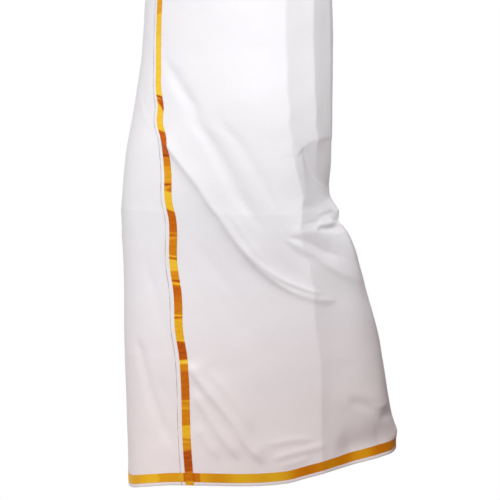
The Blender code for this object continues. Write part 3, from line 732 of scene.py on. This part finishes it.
def zari_material():
    material, tree, shader = nodes_of("zari_gold_thread")
    shader.inputs["Metallic"].default_value = 0.15
    shader.inputs["Roughness"].default_value = 0.50
    shader.inputs["Specular IOR Level"].default_value = 0.2
    uv = add(tree, "ShaderNodeUVMap", uv_map="cloth")
    # the gold's painted reflections and shade, kept per point, pick its colour on the ramp
    tone = add(tree, "ShaderNodeAttribute", attribute_name="zari_painted_light")
    ramp = add(tree, "ShaderNodeValToRGB")
    stops = [(0.0, (0.33, 0.050, 0.0)), (0.15, (0.56, 0.105, 0.0)), (0.45, (0.72, 0.250, 0.001)),
             (0.75, (0.90, 0.51, 0.016)), (1.0, (0.97, 0.66, 0.045))]
    ramp.color_ramp.elements[0].position = stops[0][0]
    ramp.color_ramp.elements[0].color = (*stops[0][1], 1)
    ramp.color_ramp.elements[1].position = stops[-1][0]
    ramp.color_ramp.elements[1].color = (*stops[-1][1], 1)
    for where, colour in stops[1:-1]:
        ramp.color_ramp.elements.new(where).color = (*colour, 1)
    tree.links.new(tone.outputs["Fac"], ramp.inputs[0])
    tree.links.new(ramp.outputs[0], shader.inputs["Base Color"])
    scale = add(tree, "ShaderNodeMapping")
    scale.inputs["Scale"].default_value = (1200, 1200, 1)
    noise = add(tree, "ShaderNodeTexNoise", Scale=1.0, Detail=2.0)
    tree.links.new(uv.outputs[0], scale.inputs[0])
    tree.links.new(scale.outputs[0], noise.inputs["Vector"])
    bump = add(tree, "ShaderNodeBump", Strength=0.15, Distance=0.0003)
    tree.links.new(noise.outputs["Fac"], bump.inputs["Height"])
    tree.links.new(bump.outputs[0], shader.inputs["Normal"])
    return material


# ----------------------------------------------------------------- the garment
cotton = cotton_material()
gold = zari_material()
cloth = make_sheet(cotton)
end_band = make_end_band(gold)
hem_band = make_hem_band(gold)
waist = make_waist(cotton)
for piece in (cloth, end_band, hem_band, waist):
    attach(piece, "root")
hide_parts("wrap_front", "wrap_left", "wrap_back", "wrap_right", "wrap_underlap")
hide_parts("zari_end")
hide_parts("zari_hem_front", "zari_hem_left", "zari_hem_back", "zari_hem_right")
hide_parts("waist_fold")

# ------------------------------------------------------------------- the studio
def white_floor(name):
    """As white as the surround, so that no edge shows behind the cloth."""
    material = bpy.data.materials.new(name)
    material.use_nodes = True
    shader = material.node_tree.nodes["Principled BSDF"]
    shader.inputs["Base Color"].default_value = (0.0, 0.0, 0.0, 1)
    shader.inputs["Roughness"].default_value = 1.0
    shader.inputs["Specular IOR Level"].default_value = 0.0
    shader.inputs["Emission Color"].default_value = (1, 1, 1, 1)
    shader.inputs["Emission Strength"].default_value = 1.0
    return material


bpy.ops.mesh.primitive_circle_add(vertices=96, radius=14.0, fill_type="NGON", location=(0, 0, -HOLD_H))
floor = bpy.context.object
floor.name = "pale_floor"
floor.data.materials.append(white_floor("pale_floor"))
floor.visible_diffuse = False
floor.visible_glossy = False

SKY_TOWARD = (-0.95, -0.16, -0.24)      # the side the soft surround is brightest on
SKY_LOW, SKY_HIGH = 0.06, 0.70
SKY_FAR, SKY_NEAR = (1.18, 0.93, 0.93), (1.0, 1.0, 1.01)      # tint of its dim and its bright side

world = bpy.data.worlds.new("studio")
bpy.context.scene.world = world
world.use_nodes = True
wt = world.node_tree
background = wt.nodes["Background"]
# soft light all round, stronger from the wearer's right
coord = wt.nodes.new("ShaderNodeTexCoord")
toward = wt.nodes.new("ShaderNodeVectorMath")
toward.operation = "DOT_PRODUCT"
toward.inputs[1].default_value = Vector(SKY_TOWARD).normalized()
wt.links.new(coord.outputs["Generated"], toward.inputs[0])
sky = wt.nodes.new("ShaderNodeMapRange")
sky.inputs["From Min"].default_value = -1.0
sky.inputs["From Max"].default_value = 1.0
sky.inputs["To Min"].default_value = SKY_LOW
sky.inputs["To Max"].default_value = SKY_HIGH
wt.links.new(toward.outputs["Value"], sky.inputs["Value"])
share = wt.nodes.new("ShaderNodeMapRange")
share.inputs["From Min"].default_value = -1.0
share.inputs["From Max"].default_value = 1.0
wt.links.new(toward.outputs["Value"], share.inputs["Value"])
hue = wt.nodes.new("ShaderNodeMix")
hue.data_type = "RGBA"
ins = [i for i in hue.inputs if i.type == "RGBA"]
ins[0].default_value = (*SKY_FAR, 1)
ins[1].default_value = (*SKY_NEAR, 1)
wt.links.new(share.outputs[0], hue.inputs["Factor"])
tint = wt.nodes.new("ShaderNodeMix")
tint.data_type = "RGBA"
tint.blend_type = "MULTIPLY"
tint.inputs["Factor"].default_value = 1.0
ins = [i for i in tint.inputs if i.type == "RGBA"]
wt.links.new(sky.outputs[0], ins[0])
wt.links.new([o for o in hue.outputs if o.type == "RGBA"][0], ins[1])
path = wt.nodes.new("ShaderNodeLightPath")
white = wt.nodes.new("ShaderNodeMix")
white.data_type = "RGBA"
ins = [i for i in white.inputs if i.type == "RGBA"]
ins[1].default_value = (1, 1, 1, 1)
wt.links.new([o for o in tint.outputs if o.type == "RGBA"][0], ins[0])
wt.links.new(path.outputs["Is Camera Ray"], white.inputs["Factor"])
wt.links.new([o for o in white.outputs if o.type == "RGBA"][0], background.inputs["Color"])
background.inputs["Strength"].default_value = 1.0


def area_light(name, azimuth, elevation, distance, size, power, colour, aim=(0, 0, -0.45)):
    """A soft square light, placed round the garment as the views are."""
    a, e = math.radians(azimuth), math.radians(elevation)
    back = Vector((math.sin(a) * math.cos(e), -math.cos(a) * math.cos(e), math.sin(e)))
    data = bpy.data.lights.new(name, "AREA")
    data.shape = "SQUARE"
    data.size = size
    data.energy = power
    data.color = colour
    obj = bpy.data.objects.new(name, data)
    obj.location = Vector(aim) + back * distance
    obj.rotation_mode = "QUATERNION"
    obj.rotation_quaternion = back.to_track_quat("Z", "Y")
    obj.visible_camera = False
    bpy.context.scene.collection.objects.link(obj)
    return obj


area_light("key", 39, 34, 4.4, 1.5, 168, (1.0, 1.0, 1.0), aim=(0, 0, -0.47))
area_light("right_high", 112, 4, 1.5, 0.6, 0.70, (1.0, 1.0, 1.0), aim=(0, 0, -0.17)).data.spread = math.radians(58)
area_light("top_back", 150, 78, 3.0, 1.5, 11, (1.0, 1.0, 1.0), aim=(0, 0, -0.4))

# ------------------------------------------------------------------- the camera
VIEW, TILT, DISTANCE = math.radians(48.0), math.radians(4.5), 4.6
back = Vector((math.sin(VIEW) * math.cos(TILT), -math.cos(VIEW) * math.cos(TILT), math.sin(TILT)))
aim = Vector((0.022 * math.cos(VIEW), 0.022 * math.sin(VIEW), 0.452 - HOLD_H))
data = bpy.data.cameras.new("camera")
data.sensor_width = 36.0
data.lens = 36.0 * DISTANCE / 0.85
data.clip_end = 100
camera = bpy.data.objects.new("camera", data)
camera.location = aim + back * DISTANCE
camera.rotation_mode = "QUATERNION"
camera.rotation_quaternion = back.to_track_quat("Z", "Y")
bpy.context.scene.collection.objects.link(camera)
bpy.context.scene.camera = camera
bpy.context.scene.view_settings.view_transform = "Standard"
